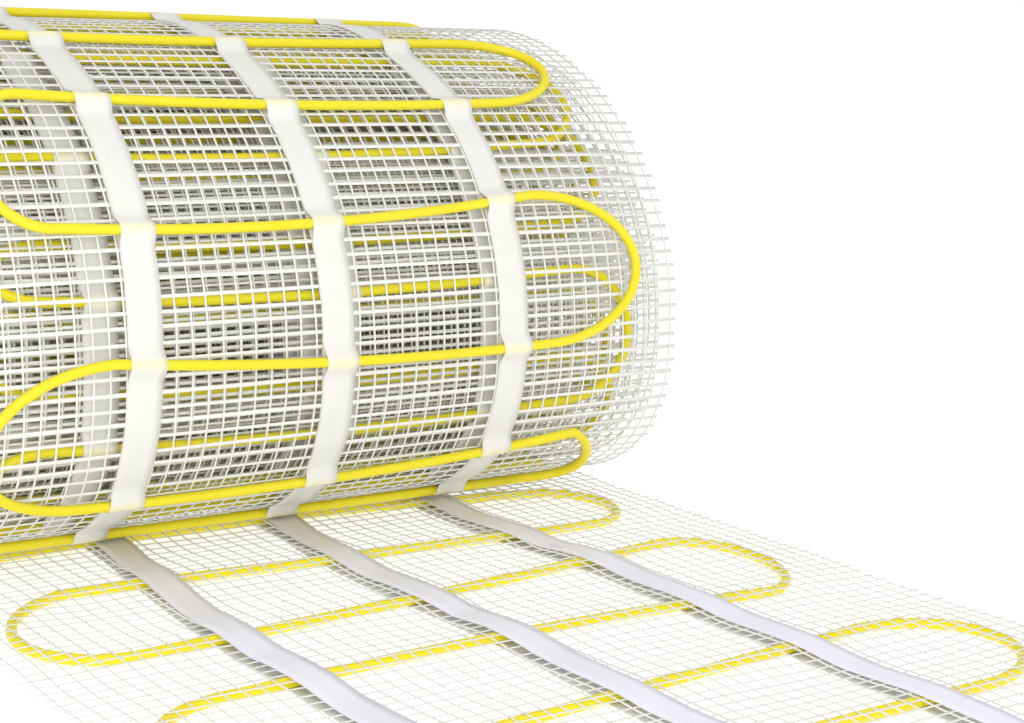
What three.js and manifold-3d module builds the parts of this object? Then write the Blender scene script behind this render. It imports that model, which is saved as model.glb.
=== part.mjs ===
// Underfloor heating mat: a yellow heating cable laid to and fro on a white glass-fibre mesh and
// held by three lines of tape, rolled up with its outer end pulled out along the floor.
//
// Millimetres, +Z up. X runs along the roll's axis, across the mat. The outer end lies towards -Y.
// The origin is on the floor under the middle of the whole part.
//
// Along the mat, lengths are measured by "along", which is 0 where the outermost turn lifts off
// the floor under the roll. It grows towards the outer end and is negative round the roll.

import * as THREE from 'three';
import { mergeVertices } from 'three/addons/utils/BufferGeometryUtils.js';
import Module from 'manifold-3d';

const wasm = await Module();
wasm.setup();

// Mat
const MAT_WIDTH = 500;
const MESH_THICKNESS = 1.2;
const CABLE_DIAMETER = 6;
const TAPE_WIDTH = 21;
const TAPE_THICKNESS = 0.4;
const TAPE_SPACING = 125;
const CLEARANCE = 0.3;
const TAPE_LINES = { left: -TAPE_SPACING, middle: 0, right: TAPE_SPACING };

// The cable's runs: their spacing, how far the hairpin bends reach sideways from the middle line,
// and the margin of bare mesh past the last run at the outer end
const RUN_PITCH = 88;
const BEND_REACH = 220;
const FIRST_RUN = 96.5;
const RUNS_ON_FLOOR = 7;
const RUNS_ON_ROLL = 12;
const LAST_RUN_REACH = 190;
const END_MARGIN = 52;
const BEND_OVERREACH = 7;

// The runs are laid by hand. Each has a shift along the mat, a lean, which is how much further
// along it lies at LEAN_SPAN from the middle line, and a bow, which is how much further along its
// middle lies than its crossings of the outer tapes. The innermost run comes first.
const LEAN_SPAN = 250;
const RUN_WANDER = [
  [36, 6, -3], [11, 11, -4.4], [3.5, -7.6, -3.5], [-0.5, 10.2, -5], [-5.5, -5.1, -3.4],
  [-21.5, 0.3, -3.1], [-17, 12.7, 0.7], [-8, 5, 0], [-3, -6, 0], [-3, 6, 0], [0, -5, 0], [0, 2, 0],
  [0, 12.5, -7], [3, 13.5, 1], [1.5, -26, 2], [-1, -2, -5], [5, -24, 0], [0, -3, 0], [0, 4, 0],
];

// How the bend after a run differs from a plain half circle: its top lies further outwards and
// further along, and it starts further outwards
const BEND_SKEW = {
  '-12': [-5, -13, -8],
  '-11': [28, -2, -28],
  '-10': [22, 0, -25],
  '-9': [-6, -2, -4],
  '-8': [18, 3, -28],
  0: [-4, 0, 0],
  1: [0, 13, 7],
  2: [-14, -9, 12],
  3: [12, -4, -5],
  4: [12, -4, -5],
};
const PLAIN_BEND = [0, 0, 0];

// Section of the roll, as reaches from its middle to the cable's centre line in the first turn.
// It has slumped: the lower half is squarer than the upper, the front bulges, and the floor
// presses the bottom flat at BOTTOM_REACH below the middle.
const FRONT_REACH = 193;
const BACK_REACH = 126;
const LOWER_REACH = 138;
const BOTTOM_REACH = 126.8;
const UPPER_REACH = 168.5;
const LOWER_SQUARENESS = 2.6;
const UPPER_SQUARENESS = 2;
const ROLL_LEAN = 0.1;

// Bore, as a share of the section, and the turns that show on the ends. The ring of turns is
// made larger than the section by RING_SHARE and cut to the outermost turn.
const BORE_SHARE = 0.25;
const TURNS = 12;
const GROOVE_DEPTH = 4;
const RING_SHARE = 1.15;

// The mesh lies flat over each run for CREST_HALF on both sides of its middle and has come down
// to the floor, or back to the turn, at SAG_START
const CREST_HALF = 2.6;
const SAG_START = 12;
const EDGE_SLOPE = 12;

// Under the roll the mat lies on the floor as far back as FOOT_END and rises over FOOT_SLOPE. The
// turns above are one with it as far forward as FUSE_END.
const FOOT_END = -50;
const FOOT_SLOPE = 10;
const FUSE_SLOPE = 1;
const FUSE_OVERLAP = 2;

// The cover tapes start this far from the middle of the innermost run that shows
const TAPE_LEAD = 18;

// Steps
const ROUND_STEP = 14;
const TURN_SEGMENTS = 48;
const BEND_STEPS = 10;
const CABLE_SIDES = 8;
const TABLE_STEPS = 2400;
const STEP_CLEARANCE = 4;
const MERGE_TOLERANCE = 0.0001;

// Heights that follow from the stack: tape, cable and mesh on the floor, and the next turn above
const RADIUS = CABLE_DIAMETER / 2;
const CABLE_HEIGHT = TAPE_THICKNESS + CLEARANCE + RADIUS;
const FACE_OFFSET = RADIUS + CLEARANCE;
const STACK = CABLE_DIAMETER + MESH_THICKNESS + 4 * CLEARANCE;
const ROLL_MIDDLE = CABLE_HEIGHT + STACK + BOTTOM_REACH;
const TAIL_LENGTH = FIRST_RUN + (RUNS_ON_FLOOR - 1) * RUN_PITCH + END_MARGIN;
const FUSE_END = FIRST_RUN - RUN_PITCH + (CREST_HALF + SAG_START) / 2;
const BEND_START = BEND_REACH - RUN_PITCH / 2 - SAG_START;
const BLEND_START = TAPE_SPACING + TAPE_WIDTH / 2;
const CREST_END = BEND_REACH + BEND_OVERREACH + FACE_OFFSET + CREST_HALF;

// The section's radius in a direction: a superellipse quadrant for each of the four reaches, cut
// off by the flat bottom. The angle is 0 at the front, a quarter turn at the bottom, a half turn
// at the back.
function sectionRadius(angle) {
  const across = Math.abs(Math.cos(angle)) / (Math.cos(angle) > 0 ? FRONT_REACH : BACK_REACH);
  const upright = Math.abs(Math.sin(angle)) / (Math.sin(angle) > 0 ? LOWER_REACH : UPPER_REACH);
  const power = Math.sin(angle) > 0 ? LOWER_SQUARENESS : UPPER_SQUARENESS;
  const radius = (across ** power + upright ** power) ** (-1 / power);
  return Math.sin(angle) > 0 ? Math.min(radius, BOTTOM_REACH / Math.sin(angle)) : radius;
}

// A point of the roll at an angle and a distance from its middle, as { y, z } from the point
// where the outermost turn lifts off
function rollPoint(angle, radius) {
  const z = ROLL_MIDDLE - radius * Math.sin(angle);
  return { y: -radius * Math.cos(angle) + ROLL_LEAN * (z - CABLE_HEIGHT), z };
}

// The cable's centre line round the outermost turn, as a table of length against place. The turn
// starts under the roll, goes up the back and comes down the front, closing in by one stack.
const TURN_TABLE = [];
{
  let along = 0;
  for (let step = 0; step <= TABLE_STEPS; step += 1) {
    const share = step / TABLE_STEPS;
    const angle = Math.PI / 2 + share * 2 * Math.PI;
    const point = rollPoint(angle, sectionRadius(angle) + STACK * (1 - share));
    if (step > 0) {
      const last = TURN_TABLE[step - 1];
      along -= Math.hypot(point.y - last.y, point.z - last.z);
    }
    TURN_TABLE.push({ along, ...point });
  }
}
const TURN_END = TURN_TABLE[TABLE_STEPS].along;

// The whole part is moved so that the origin lies under its middle
const BACKMOST = Math.max(...TURN_TABLE.map((entry) => entry.y)) + FACE_OFFSET + TAPE_THICKNESS;
const SHIFT_Y = (TAIL_LENGTH - BACKMOST) / 2;

// The cable line at a length along the mat, with the outward direction there
function matLine(along) {
  if (along >= 0) {
    return { y: SHIFT_Y - along, z: CABLE_HEIGHT, outY: 0, outZ: -1 };
  }
  let low = 0;
  let high = TABLE_STEPS;
  while (high - low > 1) {
    const middle = (low + high) >> 1;
    if (TURN_TABLE[middle].along > along) low = middle;
    else high = middle;
  }
  const a = TURN_TABLE[low];
  const b = TURN_TABLE[high];
  const share = (along - a.along) / (b.along - a.along);
  const length = Math.hypot(a.y - b.y, a.z - b.z);
  const alongY = (a.y - b.y) / length;
  const alongZ = (a.z - b.z) / length;
  return {
    y: SHIFT_Y + a.y + share * (b.y - a.y),
    z: a.z + share * (b.z - a.z),
    outY: -alongZ,
    outZ: alongY,
  };
}

// A point off the cable line by a distance outwards
function offLine(along, outwards) {
  const line = matLine(along);
  return { y: line.y + outwards * line.outY, z: line.z + outwards * line.outZ };
}

// The runs from the innermost outwards. Run 0 of the floor is the first in front of the roll.
const RUN_NUMBERS = Array.from({ length: RUNS_ON_ROLL + RUNS_ON_FLOOR }, (_, i) => i - RUNS_ON_ROLL);

// A run's length along the mat where it crosses a line at x
function runAlong(number, x) {
  const [shift, lean, bow] = RUN_WANDER[number + RUNS_ON_ROLL];
  const held = Math.max(-BEND_REACH, Math.min(BEND_REACH, x));
  const bowed = bow * (1 - (held / TAPE_SPACING) ** 2);
  return FIRST_RUN + number * RUN_PITCH + shift + (lean * held) / LEAN_SPAN + bowed;
}

// A run is joined to the next one outwards by a bend on the right (1) or on the left (-1)
function bendSide(number) {
  return ((number % 2) + 2) % 2 === 0 ? 1 : -1;
}

// The bend after a run: its half width, where it starts, and how far its top is pushed outwards
// and along
function bendShape(number) {
  const side = bendSide(number);
  const x = side * (BEND_REACH - RUN_PITCH / 2);
  const radius = (runAlong(number + 1, x) - runAlong(number, x)) / 2;
  const [outwards, along, start] = BEND_SKEW[number] ?? PLAIN_BEND;
  return { radius, start: BEND_REACH - radius + start, outwards, along };
}

// The cable's route as points { x, along }: a run with a stop at each tape and between them, then
// a half circle to the next run, pushed by a half sine
function cableRoute() {
  const route = [];
  const first = RUN_NUMBERS[0];
  const last = RUN_NUMBERS[RUN_NUMBERS.length - 1];
  const startSide = -bendSide(first);
  const startX = startSide * (BEND_REACH - RUN_PITCH / 2);
  const startAlong = runAlong(first, startX);
  for (let step = BEND_STEPS / 2; step >= 1; step -= 1) {
    const angle = (step / BEND_STEPS) * Math.PI;
    const radius = RUN_PITCH / 2;
    route.push({
      x: startX + startSide * radius * Math.sin(angle),
      along: startAlong - radius * (1 - Math.cos(angle)),
    });
  }
  for (const number of RUN_NUMBERS) {
    const side = bendSide(number);
    const inX = number === first ? startX : -side * bendShape(number - 1).start;
    const stops = [-1, -0.5, 0, 0.5, 1].map((share) => side * share * TAPE_SPACING);
    for (const x of [inX, ...stops]) route.push({ x, along: runAlong(number, x) });
    if (number === last) {
      const endX = side * LAST_RUN_REACH;
      route.push({ x: endX, along: runAlong(number, endX) });
      break;
    }
    const bend = bendShape(number);
    const outX = side * bend.start;
    const from = runAlong(number, outX);
    const to = runAlong(number + 1, outX);
    route.push({ x: outX, along: from });
    for (let step = 1; step < BEND_STEPS; step += 1) {
      const angle = (step / BEND_STEPS) * Math.PI;
      const middle = (from + to) / 2 + bend.along * Math.sin(angle);
      route.push({
        x: outX + side * (bend.radius + bend.outwards) * Math.sin(angle),
        along: middle - ((to - from) / 2) * Math.cos(angle),
      });
    }
  }
  return route;
}

// A curve through given points whose equal steps are the points themselves
class PointCurve extends THREE.Curve {
  constructor(points) {
    super();
    this.points = points;
  }

  getPoint(t, target = new THREE.Vector3()) {
    const place = t * (this.points.length - 1);
    const index = Math.min(Math.floor(place), this.points.length - 2);
    return target.lerpVectors(this.points[index], this.points[index + 1], place - index);
  }

  getPointAt(u, target) {
    return this.getPoint(u, target);
  }

  getTangentAt(u, target) {
    return this.getTangent(u, target);
  }
}

// Merges the corners that faces share and leaves only the positions
function merged(geometry) {
  const bare = geometry.clone();
  bare.deleteAttribute('normal');
  bare.deleteAttribute('uv');
  return mergeVertices(bare, MERGE_TOLERANCE);
}

// Turns a mesh the right way round if its volume comes out negative
function facingOut(geometry) {
  const position = geometry.getAttribute('position');
  const index = geometry.getIndex().array;
  const [a, b, c] = [new THREE.Vector3(), new THREE.Vector3(), new THREE.Vector3()];
  let volume = 0;
  for (let i = 0; i < index.length; i += 3) {
    a.fromBufferAttribute(position, index[i]);
    b.fromBufferAttribute(position, index[i + 1]);
    c.fromBufferAttribute(position, index[i + 2]);
    volume += a.dot(b.cross(c));
  }
  if (volume < 0) {
    for (let i = 0; i < index.length; i += 3) {
      [index[i + 1], index[i + 2]] = [index[i + 2], index[i + 1]];
    }
  }
  return geometry;
}

// A closed strip between two faces. Each column has an x and two rows of points { y, z }, the
// outer and the inner face, with as many points in every column.
function stripGeometry(columns) {
  const rows = columns[0].outer.length;
  const positions = [];
  for (const column of columns) {
    for (const face of [column.outer, column.inner]) {
      for (const point of face) positions.push(column.x, point.y, point.z);
    }
  }
  const at = (column, face, row) => (column * 2 + face) * rows + row;
  const index = [];
  const quad = (a, b, c, d) => index.push(a, b, c, a, c, d);
  for (let column = 0; column < columns.length - 1; column += 1) {
    for (let row = 0; row < rows - 1; row += 1) {
      quad(at(column, 0, row), at(column, 0, row + 1), at(column + 1, 0, row + 1), at(column + 1, 0, row));
      quad(at(column, 1, row), at(column + 1, 1, row), at(column + 1, 1, row + 1), at(column, 1, row + 1));
    }
    quad(at(column, 0, 0), at(column + 1, 0, 0), at(column + 1, 1, 0), at(column, 1, 0));
    const end = rows - 1;
    quad(at(column, 0, end), at(column, 1, end), at(column + 1, 1, end), at(column + 1, 0, end));
  }
  const right = columns.length - 1;
  for (let row = 0; row < rows - 1; row += 1) {
    quad(at(0, 0, row), at(0, 1, row), at(0, 1, row + 1), at(0, 0, row + 1));
    quad(at(right, 0, row), at(right, 0, row + 1), at(right, 1, row + 1), at(right, 1, row));
  }
  const geometry = new THREE.BufferGeometry();
  geometry.setAttribute('position', new THREE.Float32BufferAttribute(positions, 3));
  geometry.setIndex(index);
  return facingOut(geometry);
}

function toSolid(geometry) {
  return new wasm.Manifold(new wasm.Mesh({
    numProp: 3,
    vertProperties: new Float32Array(geometry.getAttribute('position').array),
    triVerts: new Uint32Array(geometry.getIndex().array),
  }));
}

function fromSolid(solid) {
  const mesh = solid.getMesh();
  const geometry = new THREE.BufferGeometry();
  geometry.setAttribute('position', new THREE.BufferAttribute(mesh.vertProperties, 3));
  geometry.setIndex(new THREE.BufferAttribute(mesh.triVerts, 1));
  return geometry;
}

// The lengths at which round stretches are cut into steps, the same for every piece, so that
// pieces lying on each other stay parallel
function roundSteps(from, to) {
  const steps = [];
  for (let i = Math.ceil(from / ROUND_STEP); i * ROUND_STEP < to; i += 1) steps.push(i * ROUND_STEP);
  return steps;
}

// The mesh's lower face on the floor as the rows of a column, from under the roll outwards. It
// lies over each run and sags to the floor between runs, except inside a bend, where the cable
// holds it up.
function floorRows(x) {
  const reach = Math.abs(x);
  const edge = THREE.MathUtils.clamp((CREST_END + EDGE_SLOPE - reach) / EDGE_SLOPE, 0, 1);
  const blend = (reach - BLEND_START) / (BEND_START - BLEND_START);
  const held = edge * THREE.MathUtils.clamp(blend, 0, 1);
  const afterRun = (number) => (bendSide(number) === Math.sign(x) ? held : 0);
  const rows = [];
  const add = (along, lift) => {
    const face = offLine(along, -FACE_OFFSET);
    rows.push({ along, y: face.y, z: face.z * lift });
  };
  add(runAlong(-2, x) + SAG_START / 2, 1);
  add(FOOT_END - FOOT_SLOPE, 1);
  add(FOOT_END, afterRun(-2));
  for (let number = -1; number < RUNS_ON_FLOOR; number += 1) {
    const here = runAlong(number, x);
    add(here - SAG_START, afterRun(number - 1));
    add(here - CREST_HALF, edge);
    add(here + CREST_HALF, edge);
    add(here + SAG_START, number < RUNS_ON_FLOOR - 1 ? afterRun(number) : 0);
  }
  add(TAIL_LENGTH, 0);
  return rows;
}

// The rows with one more put in between two of them
function withRow(rows, along) {
  const next = rows.findIndex((row) => row.along > along);
  const [a, b] = [rows[next - 1], rows[next]];
  const share = (along - a.along) / (b.along - a.along);
  const row = { along, y: a.y + share * (b.y - a.y), z: a.z + share * (b.z - a.z) };
  return [...rows.slice(0, next), row, ...rows.slice(next)];
}

// The columns at which the mesh on the floor changes its shape: the tapes' edges, halfway between
// two tapes, and the start and end of the bends
function floorColumns() {
  const tapes = [TAPE_WIDTH / 2, TAPE_SPACING / 2, TAPE_SPACING - TAPE_WIDTH / 2, BLEND_START];
  const half = [...tapes, BEND_START, CREST_END, CREST_END + EDGE_SLOPE, MAT_WIDTH / 2];
  return [...half.map((x) => -x).reverse(), ...half];
}

// The mesh on the floor. Under the roll it is as thick as the space up to the turns above it.
function floorMesh() {
  const turnsAbove = CABLE_HEIGHT + STACK + FACE_OFFSET + MESH_THICKNESS;
  return stripGeometry(floorColumns().map((x) => {
    const rows = withRow(withRow(floorRows(x), FUSE_END - FUSE_SLOPE), FUSE_END);
    return {
      x,
      outer: rows.map((row) => ({ y: row.y, z: row.z })),
      inner: rows.map((row) => ({
        y: row.y,
        z: row.along < FUSE_END ? turnsAbove : row.z + MESH_THICKNESS,
      })),
    };
  }));
}

// The roll's outline: the mesh's outer face round the outermost turn. Under the roll it is kept
// inside the mesh on the floor, which it is joined to.
function rollOutline() {
  const outline = new THREE.Shape();
  const seam = CABLE_HEIGHT + FACE_OFFSET + FUSE_OVERLAP;
  const end = offLine(TURN_END, -FACE_OFFSET);
  const front = matLine(FUSE_END - FUSE_SLOPE - FUSE_OVERLAP).y;
  outline.moveTo(front, end.z);
  outline.lineTo(front, seam);
  for (const along of [0, ...roundSteps(TURN_END, 0).reverse(), TURN_END]) {
    const point = offLine(along, -FACE_OFFSET);
    outline.lineTo(point.y, Math.max(point.z, seam));
  }
  return outline;
}

// The outline carried straight along the roll's axis
function rollPrism() {
  const prism = new THREE.ExtrudeGeometry(rollOutline(), { depth: MAT_WIDTH, bevelEnabled: false });
  const toYZX = new THREE.Matrix4().makeBasis(
    new THREE.Vector3(0, 1, 0),
    new THREE.Vector3(0, 0, 1),
    new THREE.Vector3(1, 0, 0),
  );
  prism.applyMatrix4(toYZX).translate(-MAT_WIDTH / 2, 0, 0);
  return facingOut(merged(prism));
}

// A ring turned about the roll's axis, with a groove between each two turns on both ends. The
// turned radius is a share of the section, so the ring takes the section's slumped shape.
function turnedRing() {
  const pitch = (1 - BORE_SHARE) / TURNS;
  const end = MAT_WIDTH / 2;
  const profile = [];
  for (const side of [1, -1]) {
    const face = [];
    for (let turn = 0; turn < TURNS; turn += 1) {
      const groove = turn > 0 ? GROOVE_DEPTH : 0;
      face.push(new THREE.Vector2(BORE_SHARE + turn * pitch, side * (end - groove)));
      face.push(new THREE.Vector2(BORE_SHARE + (turn + 0.5) * pitch, side * end));
    }
    face.push(new THREE.Vector2(RING_SHARE, side * end));
    profile.push(...(side > 0 ? face.reverse() : face));
  }
  profile.push(profile[0].clone());
  const ring = merged(new THREE.LatheGeometry(profile, TURN_SEGMENTS));
  const position = ring.getAttribute('position');
  for (let i = 0; i < position.count; i += 1) {
    const share = Math.hypot(position.getX(i), position.getZ(i));
    const angle = Math.atan2(position.getZ(i), position.getX(i));
    const point = rollPoint(angle, share * sectionRadius(angle));
    position.setXYZ(i, position.getY(i), point.y + SHIFT_Y, point.z);
  }
  return facingOut(ring);
}

// The pocket in the mesh's lower face for a tape that lies on the floor under it
function tapePocket(x) {
  const width = TAPE_WIDTH + 2 * CLEARANCE;
  const from = SHIFT_Y - TAIL_LENGTH - MESH_THICKNESS;
  const to = SHIFT_Y - FOOT_END + MESH_THICKNESS;
  const height = 2 * (TAPE_THICKNESS + CLEARANCE);
  const pocket = new THREE.BoxGeometry(width, to - from, height);
  pocket.translate(x, (from + to) / 2, 0);
  return merged(pocket);
}

function glassFibreMesh() {
  let solid = toSolid(rollPrism()).intersect(toSolid(turnedRing()));
  solid = solid.add(toSolid(floorMesh()));
  for (const x of Object.values(TAPE_LINES)) solid = solid.subtract(toSolid(tapePocket(x)));
  return fromSolid(solid);
}

function heatingCable() {
  const points = cableRoute().map((stop) => {
    const line = matLine(stop.along);
    return new THREE.Vector3(stop.x, line.y, line.z);
  });
  const section = new THREE.Shape();
  for (let side = 0; side < CABLE_SIDES; side += 1) {
    const angle = ((side + 0.5) / CABLE_SIDES) * 2 * Math.PI;
    const corner = [RADIUS * Math.cos(angle), RADIUS * Math.sin(angle)];
    if (side === 0) section.moveTo(...corner);
    else section.lineTo(...corner);
  }
  const tube = new THREE.ExtrudeGeometry(section, {
    steps: points.length - 1,
    extrudePath: new PointCurve(points),
  });
  return facingOut(merged(tube));
}

// Where a line along the mat crosses the runs that lie outside on the roll
function rollCrossings(x) {
  return RUN_NUMBERS.filter((number) => number < -1).map((number) => runAlong(number, x));
}

// The cover tape lies on the mesh's outer face and rises over each run. On the floor it is flat.
function coverTapeColumn(x, steps) {
  const crossings = rollCrossings(x);
  const stops = steps.map((along) => [along, -RADIUS]);
  crossings.forEach((here, i) => {
    stops.push([here - SAG_START, -RADIUS], [here - CREST_HALF, FACE_OFFSET]);
    stops.push([here + CREST_HALF, FACE_OFFSET]);
    if (i < crossings.length - 1) stops.push([here + SAG_START, -RADIUS]);
  });
  stops.sort((a, b) => a[0] - b[0]);
  const inner = stops.map(([along, outwards]) => offLine(along, outwards));
  const outer = stops.map(([along, outwards]) => offLine(along, outwards + TAPE_THICKNESS));
  for (const along of [FOOT_END - FOOT_SLOPE / 2, TAIL_LENGTH]) {
    const y = SHIFT_Y - along;
    inner.push({ y, z: TAPE_THICKNESS });
    outer.push({ y, z: 0 });
  }
  return { x, inner, outer };
}

// Both edges of a cover tape bend at the steps that lie clear of the runs
function coverTape(x) {
  const crossings = rollCrossings(x);
  const start = crossings[0] - TAPE_LEAD;
  const steps = roundSteps(start, crossings[crossings.length - 1]).filter(
    (along) => crossings.every((here) => Math.abs(along - here) > TAPE_LEAD - STEP_CLEARANCE),
  );
  const columns = [x - TAPE_WIDTH / 2, x + TAPE_WIDTH / 2];
  return stripGeometry(columns.map((edge) => coverTapeColumn(edge, [start, ...steps])));
}

// The backing tape lies on the mesh's inner face, which is the upper one on the floor
function backingTapeColumn(x) {
  const start = FUSE_END + CLEARANCE;
  const rows = withRow(floorRows(x), start).filter((row) => row.along >= start);
  const lift = MESH_THICKNESS + CLEARANCE;
  return {
    x,
    outer: rows.map((row) => ({ y: row.y, z: row.z + lift })),
    inner: rows.map((row) => ({ y: row.y, z: row.z + lift + TAPE_THICKNESS })),
  };
}

function backingTape(x) {
  return stripGeometry([backingTapeColumn(x - TAPE_WIDTH / 2), backingTapeColumn(x + TAPE_WIDTH / 2)]);
}

const white = new THREE.MeshStandardMaterial({ color: 0xf2f2ee, roughness: 0.75, metalness: 0 });
const yellow = new THREE.MeshStandardMaterial({ color: 0xe6d92a, roughness: 0.42, metalness: 0 });
const offWhite = new THREE.MeshStandardMaterial({ color: 0xe8e8e4, roughness: 0.5, metalness: 0 });
const paleGrey = new THREE.MeshStandardMaterial({ color: 0xe1e1ea, roughness: 0.35, metalness: 0 });

const mat = new THREE.Group();
function addPiece(name, geometry, material) {
  const piece = new THREE.Mesh(geometry, material);
  piece.name = name;
  mat.add(piece);
}

addPiece('glass_fibre_mesh', glassFibreMesh(), white);
addPiece('heating_cable', heatingCable(), yellow);
for (const [place, x] of Object.entries(TAPE_LINES)) {
  addPiece(`cover_tape_${place}`, coverTape(x), offWhite);
  addPiece(`backing_tape_${place}`, backingTape(x), paleGrey);
}

export default mat;
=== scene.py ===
"""The looks of an underfloor heating mat, partly rolled up: its glass-fibre mesh, cable and tapes.

Metres, +Z up. X runs along the roll's axis, across the mat, and the outer end lies towards -Y.

Lengths along the mat are called "along". It is 0 where the outermost turn lifts off the floor
under the roll, grows towards the outer end and is negative round the roll. The cable's line is
a spiral in the YZ plane, and every piece is placed by its x, its along and how far it lies
outwards from that line.
"""

import math

import bpy
import numpy as np
from mathutils import Matrix, Vector


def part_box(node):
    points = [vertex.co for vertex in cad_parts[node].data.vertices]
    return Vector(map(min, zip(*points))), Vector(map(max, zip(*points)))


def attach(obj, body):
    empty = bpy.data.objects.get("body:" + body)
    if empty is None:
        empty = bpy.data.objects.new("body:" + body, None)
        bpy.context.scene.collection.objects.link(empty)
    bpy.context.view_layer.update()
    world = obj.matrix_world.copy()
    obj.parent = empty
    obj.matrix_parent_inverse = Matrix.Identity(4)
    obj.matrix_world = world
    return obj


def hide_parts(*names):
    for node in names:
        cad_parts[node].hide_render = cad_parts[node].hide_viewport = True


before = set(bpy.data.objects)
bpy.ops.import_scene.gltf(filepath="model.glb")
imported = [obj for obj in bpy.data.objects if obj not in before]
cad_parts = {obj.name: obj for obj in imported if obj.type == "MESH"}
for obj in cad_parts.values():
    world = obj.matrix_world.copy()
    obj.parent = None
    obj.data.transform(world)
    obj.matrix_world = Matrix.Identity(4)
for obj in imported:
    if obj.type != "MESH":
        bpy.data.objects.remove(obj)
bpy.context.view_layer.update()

MM = 0.001

# Mat, as in the frame
MESH_LOW, MESH_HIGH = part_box("glass_fibre_mesh")
HALF_WIDTH = MESH_HIGH[0]
CABLE_RADIUS = 3 * MM
CABLE_HEIGHT = 3.7 * MM
TAPE_WIDTH = 21 * MM
TAPE_SPACING = 125 * MM
TAPE_LINES = {"left": -TAPE_SPACING, "middle": 0.0, "right": TAPE_SPACING}

# Section of the roll, as reaches from its middle to the cable's line in the first turn. The
# floor presses the bottom flat at BOTTOM_REACH.
FRONT_REACH = 193 * MM
BACK_REACH = 126 * MM
LOWER_REACH = 138 * MM
BOTTOM_REACH = 126.8 * MM
UPPER_REACH = 168.5 * MM
LOWER_SQUARENESS = 2.6
UPPER_SQUARENESS = 2
ROLL_LEAN = 0.1
STACK = 8.4 * MM
ROLL_MIDDLE = CABLE_HEIGHT + STACK + BOTTOM_REACH
TURN_SHARE = 0.0625
TURNS = 12.4
STEPS_PER_TURN = 720
TURN_GRID = np.linspace(0, TURNS, int(TURNS * STEPS_PER_TURN) + 1)

# Runs of the cable: the first in front of the roll is run 0, and those round the roll are
# negative. Each has a shift along the mat, a lean, how much further along it lies at LEAN_SPAN
# from the middle line, and a bow, how much further along its middle lies than its crossings of
# the outer tapes. They are listed from run FIRST_LISTED outwards. The runs inside the roll follow
# at INNER_PITCH, shifted along as the two lists of run numbers and lengths say.
RUN_PITCH = 88 * MM
INNER_PITCH = 85.4 * MM
BEND_REACH = 220 * MM
FIRST_RUN = 96.5 * MM
LAST_RUN = 6
LAST_RUN_REACH = 190 * MM
END_MARGIN = 52 * MM
LEAN_SPAN = 250 * MM
INNER_BOW = -3 * MM
INNER_SHIFT_RUNS = [-41, -34, -29, -23, -21, -19, -12]
INNER_SHIFT_MM = [27, 0, 0, -38, -44, -32, 0]
INNER_WANDER_MM = 3
INNER_LEAN_MM = 9
FIRST_LISTED = -12
RUN_WANDER = MM * np.array([
    (36, 6, -3), (11, 11, -4.4), (3.5, -7.6, -3.5), (-0.5, 10.2, -5), (-5.5, -5.1, -3.4),
    (-21.5, 0.3, -3.1), (-17, 12.7, 0.7), (-8, 5, 0), (-3, -6, 0), (-3, 6, 0), (0, -5, 0), (0, 2, 0),
    (0, 12.5, -7), (3, 13.5, 1), (1.5, -26, 2), (-1, -2, -5), (5, -24, 0), (0, -3, 0), (0, 4, 0),
])

# How the bend after a run differs from a plain half circle, in mm: its top lies further outwards
# and further along, and it starts further outwards
BEND_SKEW = {
    -12: (-5, -13, -8), -11: (28, -2, -28), -10: (22, 0, -25), -9: (-6, -2, -4), -8: (18, 3, -28),
    0: (-4, 0, 0), 1: (0, 13, 7), 2: (-14, -9, 12), 3: (12, -4, -5), 4: (12, -4, -5),
}

# Mesh: yarns across the mat are flat ribbons, those along it thin twisted pairs. Both are
# narrower on the floor, and the ribbons narrower inside the roll too.
CROSS_PITCH = 9.0 * MM
CROSS_WIDTH = 2.5 * MM
INNER_CROSS_WIDTH = 2.0 * MM
FLOOR_CROSS_WIDTH = 1.4 * MM
CROSS_THICKNESS = 0.34 * MM
LONG_COUNT = 51
LONG_WIDTH = 1.0 * MM
FLOOR_LONG_WIDTH = 0.7 * MM
LONG_THICKNESS = 0.7 * MM
LONG_EDGE = 4 * MM
MESH_OFFSET = CABLE_RADIUS + LONG_THICKNESS / 2 + 0.05 * MM

# How unevenly the yarns lie: the long ones wander sideways, and each ribbon has a bow, a place, two
# ends and a width of its own
LONG_WANDER = 0.6 * MM
LONG_WANDER_LENGTH = 190 * MM
LONG_SEED = 40
CROSS_BOW = 0.7 * MM
CROSS_BOW_SHARE = 1.7
CROSS_SEED = 400
CROSS_PLACE_MM = 0.5
CROSS_END_MM = 1.5
CROSS_WIDTH_SHARES = (0.8, 1.12)

# The piece of mesh on the floor begins here, under the roll, with rings this far apart
MESH_SPLIT_MM = -90
FLOOR_STEP_MM = 6.5

# On the floor the mesh is draped over the cable, and hangs a little above the floor between runs,
# unevenly. The change from the roll to the floor begins at LIFT_OFF.
DRAPE_REACH = 42 * MM
DRAPE_HEIGHT = CABLE_HEIGHT + CABLE_RADIUS + 0.1 * MM
SAG_HEIGHT = 5.0 * MM
LIFT_OFF = -70 * MM
SAG_WANDER = 0.2
SAG_WANDER_LENGTH = 210 * MM
SAG_SEED = 3

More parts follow.
